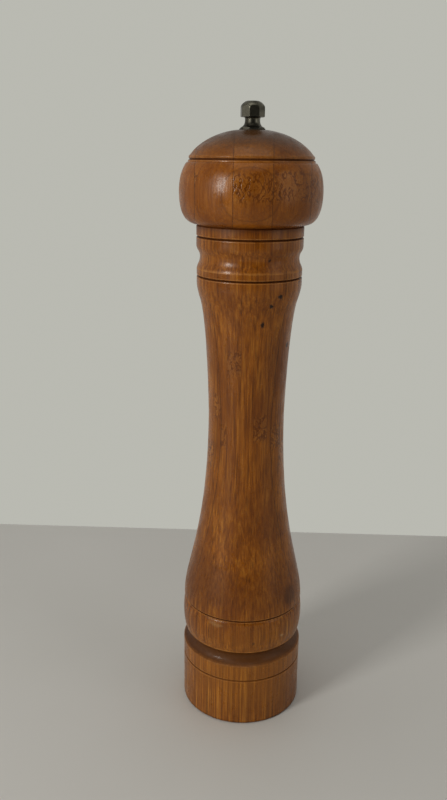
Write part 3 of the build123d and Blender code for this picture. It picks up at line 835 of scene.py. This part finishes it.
height = add(coil, "ShaderNodeMath", {0: open_done, 1: pitch, 2: dead_rise}, operation="MULTIPLY_ADD")
wind = add(coil, "ShaderNodeMath", {0: turn_number, 1: math.tau}, operation="MULTIPLY")
unwound = add(coil, "ShaderNodeCombineXYZ", {0: size["Coil Radius"], 2: height})
coil_place = add(coil, "ShaderNodeVectorRotate", {"Vector": unwound, "Angle": wind})
wound = add(coil, "GeometryNodeSetPosition", {"Geometry": wound, "Position": coil_place})
wire = add(coil, "GeometryNodeCurvePrimitiveCircle", {"Resolution": 14, "Radius": size["Wire Radius"]})
wound = add(coil, "GeometryNodeCurveToMesh", {"Curve": wound, "Profile Curve": wire, "Fill Caps": True})
end_tree(coil, wound, size["Material"])

start_point = bpy.data.meshes.new("wire_end")
start_point.from_pydata([(0, 0, 0)], [], [])
spring_low, spring_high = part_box("burr_spring")
burr_spring = grow(
    "burr_spring_wound",
    coil,
    start_point,
    {
        "Turns": 6.5,
        "Coil Radius": 5.603 * MM,
        "Wire Radius": 0.5 * MM,
        "Bottom": spring_low.z,
        "Top": spring_high.z,
        "Material": spring_wire,
    },
)
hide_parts("burr_spring")
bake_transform(burr_spring)

# ---- Drive shaft ----
# A square aluminium bar the height of the mill, sawn from drawn stock; its upper end is turned down
# and threaded for the knob. Long drawing lines run up its faces, dulled by pepper oil.
shaft_aluminium = metal(
    "drawn_square_aluminium_bar",
    "#c3c2bd",
    "#96928a",
    roughness=(0.3, 0.48),
    grain=(0.286, 0.286, 12.5),
    tarnish=0.5,
    relief=0.03,
)
finish("drive_shaft", shaft_aluminium)

# ---- Rotating burr, its washer and its screw ----
# A sintered and hardened steel cone of spiral teeth on the square of the shaft, held from below by a
# stamped washer and a machine screw in the end of the bar.
finish("rotating_burr", burr_steel)
finish("burr_washer", washer_steel)
burr_screw = drive_screws(
    "burr_screw_driven",
    seat=8.2,
    count=1,
    ring=0.0,
    length=10.0,
    shank=1.5,
    head=2.9,
    height=2.0,
    pitch=0.7,
    seed=2,
)
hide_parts("burr_screw")
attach(burr_screw, "spindle")

# ---- Head ----
# Turned from the same bamboo with the lamination a quarter turn round, so that broad faces of the
# strips show in front. Its tenon turns in the barrel's socket and is raw; the cap is lacquered.

# the dome darkened by grime and by painted shade where it faces up, and the dust that has settled round
# the knob
head_marks = [
    ((0.0, 0.0, 302.0), (42.0, 42.0, 24.0), "#4b3013", 0.86, 0.0),
    ((0.0, 0.0, 297.0), (13.0, 13.0, 4.0), "#574c3d", 0.6, 0.0),
]
head_bamboo = bamboo(
    "lacquered_laminated_bamboo_head",
    turned_by=math.radians(90),
    layer=(8.5, -3.0),
    strip=(17.1, -7.7),
    nodes_at=(271.5, 4.0),
    contrast=0.32,
    seed=25,
    marks=head_marks,
)

seam_gap = 0.45
tenon_radius = 15.8
tenon_foot = 240.3
tenon_round = 0.8
bore_radius = 4.79
head_foot = (neck_top, rim_height + seam_gap)
widest = (33.4, 268.4)
head_line = 283.0
dome_top = 295.9

belly = curve(head_foot, (30.9, head_foot[1]), (widest[0], 259.9), widest, 34)
belly += curve(widest, (widest[0], 278.1), (30.2, 280.9), (29.1, head_line), 30)
belly = [p for p in belly if p[1] < head_line - 1.4]
dome = curve((28.75, 284.0), (26.55, 288.4), (18.09, 294.75), (6.59, dome_top), 48)
dome = [p for p in dome if p[1] > head_line + 2.0]
tenon = [(bore_radius, tenon_foot), (tenon_radius - tenon_round, tenon_foot)]
tenon += [(tenon_radius, tenon_foot + tenon_round), (tenon_radius, rim_height), (24.4, rim_height)]
head = turn(
    "head_turned",
    # at the seam, the head's foot holds stain and painted shade
    [(tenon, *bare), ([(neck_top - seam_gap, rim_height), head_foot], 1.0, 0.5, 0.0), (belly, *lacquered)]
    + scored(29.25, head_line, -0.35)
    # the dome's rounded rim rubbed pale, partly a painted highlight
    + [([(28.9, 284.15)], 1.0, 0.0, 0.6), ([(28.74, 284.55)], 1.0, 0.0, 0.2), (dome, *lacquered)]
    # stain and painted shade round the bore under the knob
    + [([(5.2, dome_top)], 1.0, 0.5, 0.0), ([(bore_radius, dome_top - 0.4)], 0.0, 0.5, 0.0)],
    step=1.2,
    material=head_bamboo,
    sizes={"Ripple": 0.05 * MM, "Ripple Length": 4 * MM, "Seed": 9},
)
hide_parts("head")
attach(head, "head")

# ---- Drive plate and its screws ----
# A stamped steel disc under the tenon with a square hole that takes the shaft with it, held by three
# slotted wood screws.
finish("drive_plate", stamped_steel)
drive_screw_set = drive_screws(
    "drive_plate_screws_driven",
    seat=238.7,
    count=3,
    ring=9.8,
    length=9.0,
    shank=1.15,
    head=2.1,
    height=1.3,
    pitch=1.1,
    seed=8,
)
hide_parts("drive_plate_screws")
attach(drive_screw_set, "head")

# ---- Knob washer ----
# A thin stamped steel washer that lies loose between the knob and the dome. No finger reaches it, so
# it is grey and dull under grease and dust.
dusty_steel = metal(
    "dusty_greasy_washer_steel",
    "#6b6860",
    "#3f3c35",
    roughness=(0.5, 0.7),
    grain=(0.667, 0.667, 0.667),
    tarnish=0.8,
    relief=0.02,
)
finish("knob_washer", dusty_steel)

# ---- Adjusting knob ----
# Turned from brass bar on a flared neck, milled to eight sides and nickel plated; the plating has
# gone dark and greasy in the hollows and still shines where fingers rub it.
knob_nickel = metal(
    "tarnished_nickel_plated_brass",
    "#807d70",
    "#45423a",
    roughness=(0.26, 0.46),
    grain=(0.4545, 0.4545, 0.2),
    tarnish=0.85,
    relief=0.03,
)

knob_foot = 296.4
knob_flange = 5.95
knob_neck = 3.45
knob_head = 301.4
knob_edge = 5.75
knob_top = 308.2
flange_top_edge = (knob_flange, knob_foot + 0.4)
knob_flare = curve(flange_top_edge, (4.28, 297.07), (knob_neck, 298.26), (knob_neck, 299.8), 10)
knob_throat = arc((knob_neck, 300.5), (3.71, 301.14), (4.35, knob_head), 6)
knob_crown = arc((knob_edge, 305.4), (4.55, 307.1), (2.8, knob_top), 12)
knob_outline = [(0, knob_foot), (knob_flange - 0.2, knob_foot), (knob_flange, knob_foot + 0.2)]
knob_outline += [flange_top_edge] + knob_flare + [(knob_neck, 300.5)] + knob_throat
knob_outline += [(5.4, knob_head), (knob_edge, 301.75)] + knob_crown + [(0, knob_top)]
knob = turn(
    "adjusting_knob_turned",
    [(knob_outline, *bare)],
    step=0.4,
    material=knob_nickel,
    sizes={"Segments": 192, "Across Flats": 10.44 * MM, "Flats Turn": math.radians(-13)},
)
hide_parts("adjusting_knob")
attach(knob, "knob")

# ---- Table, light and camera ----
# A plain pale matt table top with its far edge 0.2 m behind the mill, in a pale room. A window on the
# left gives the long highlights; the ceiling and a doorway on the right fill the shadows.
table_stone = bpy.data.materials.new("pale_matt_table")
table_stone.use_nodes = True
tree = table_stone.node_tree
tree.nodes.clear()
table_place = add(tree, "ShaderNodeTexCoord", out="Object")
cloud = add(tree, "ShaderNodeTexNoise", {"Vector": table_place, "Scale": 9.0, "Detail": 3.0})
table_colour = add(
    tree,
    "ShaderNodeMix",
    {0: cloud, 6: linear("#d9d7d2"), 7: linear("#d2d0ca")},
    out=2,
    data_type="RGBA",
)
table_surface = add(tree, "ShaderNodeBsdfPrincipled", {"Base Color": table_colour, "Roughness": 0.6})
add(tree, "ShaderNodeOutputMaterial", {0: table_surface})
table_reach = 1.6
table_edge_left = 0.2
table_edge_right = 0.188
table_mesh = bpy.data.meshes.new("table")
table_mesh.from_pydata(
    [
        (-table_reach, -table_reach, 0),
        (table_reach, -table_reach, 0),
        (table_reach, table_edge_right, 0),
        (-table_reach, table_edge_left, 0),
    ],
    [],
    [(0, 1, 2, 3)],
)
table_mesh.materials.append(table_stone)
table = bpy.data.objects.new("table", table_mesh)
bpy.context.collection.objects.link(table)

# the room: a pale wall behind, seen plainly, while the light it sends comes mostly from that side
room = bpy.data.worlds.new("room")
room.use_nodes = True
tree = room.node_tree
tree.nodes.clear()
look_way = add(tree, "ShaderNodeTexCoord", out="Generated")
sky = add(tree, "ShaderNodeSeparateXYZ", {0: look_way}).node.outputs
depth = add(
    tree,
    "ShaderNodeMapRange",
    {"Value": sky["Y"], "From Min": -1.0, "From Max": 0.3, "To Min": 0.05, "To Max": 0.4},
    interpolation_type="SMOOTHSTEP",
)
above = add(
    tree,
    "ShaderNodeMapRange",
    {"Value": sky["Z"], "From Min": 0.1, "From Max": 1.0, "To Min": 0.0, "To Max": -0.04},
)
room_light = add(tree, "ShaderNodeMath", {0: depth, 1: above}, operation="ADD")
seen_light = add(tree, "ShaderNodeBackground", {"Color": linear("#b0b0a9"), "Strength": 1.0})
sent_light = add(tree, "ShaderNodeBackground", {"Color": linear("#fffefa"), "Strength": room_light})
seen = add(tree, "ShaderNodeLightPath", out="Is Camera Ray")
light_or_wall = add(tree, "ShaderNodeMixShader", {0: seen, 1: sent_light, 2: seen_light})
add(tree, "ShaderNodeOutputWorld", {0: light_or_wall})
bpy.context.scene.world = room


def soft_box(name, bearing, elevation, distance, width, height, power):
    """A rectangular light aimed at the mill from a bearing, in degrees from the front to the left."""
    light = bpy.data.lights.new(name, "AREA")
    light.shape = "RECTANGLE"
    light.size = width
    light.size_y = height
    light.energy = power
    light.color = linear("#fffefb")[:3]
    lamp = bpy.data.objects.new(name, light)
    aim = Vector((0, 0, 0.18))
    b, e = math.radians(bearing), math.radians(elevation)
    away = Vector((-math.sin(b) * math.cos(e), -math.cos(b) * math.cos(e), math.sin(e)))
    lamp.location = aim + away * distance
    lamp.rotation_euler = away.to_track_quat("Z", "Y").to_euler()
    bpy.context.collection.objects.link(lamp)


soft_box("window", bearing=48, elevation=17, distance=1.1, width=0.24, height=0.42, power=4.3)
soft_box("ceiling", bearing=10, elevation=72, distance=1.5, width=1.2, height=1.2, power=3.0)
soft_box("doorway", bearing=-60, elevation=15, distance=1.4, width=0.7, height=1.2, power=1.6)

camera_place = (-0.00026, -0.378, 0.2826)
down_degrees = 16.91
pan_degrees = 1.708
roll_degrees = 0.727
lens = bpy.data.cameras.new("camera")
lens.lens = 35.49
lens.sensor_width = 36
eye = bpy.data.objects.new("camera", lens)
tilt = Matrix.Rotation(math.radians(90 - down_degrees), 4, "X")
pan = Matrix.Rotation(math.radians(pan_degrees), 4, "Z")
tip = Matrix.Rotation(math.radians(roll_degrees), 4, "Z")
eye.matrix_world = Matrix.Translation(camera_place) @ pan @ tilt @ tip
bpy.context.collection.objects.link(eye)
bpy.context.scene.camera = eye
bpy.context.scene.view_settings.view_transform = "Standard"
bpy.context.scene.view_settings.look = "Medium High Contrast"
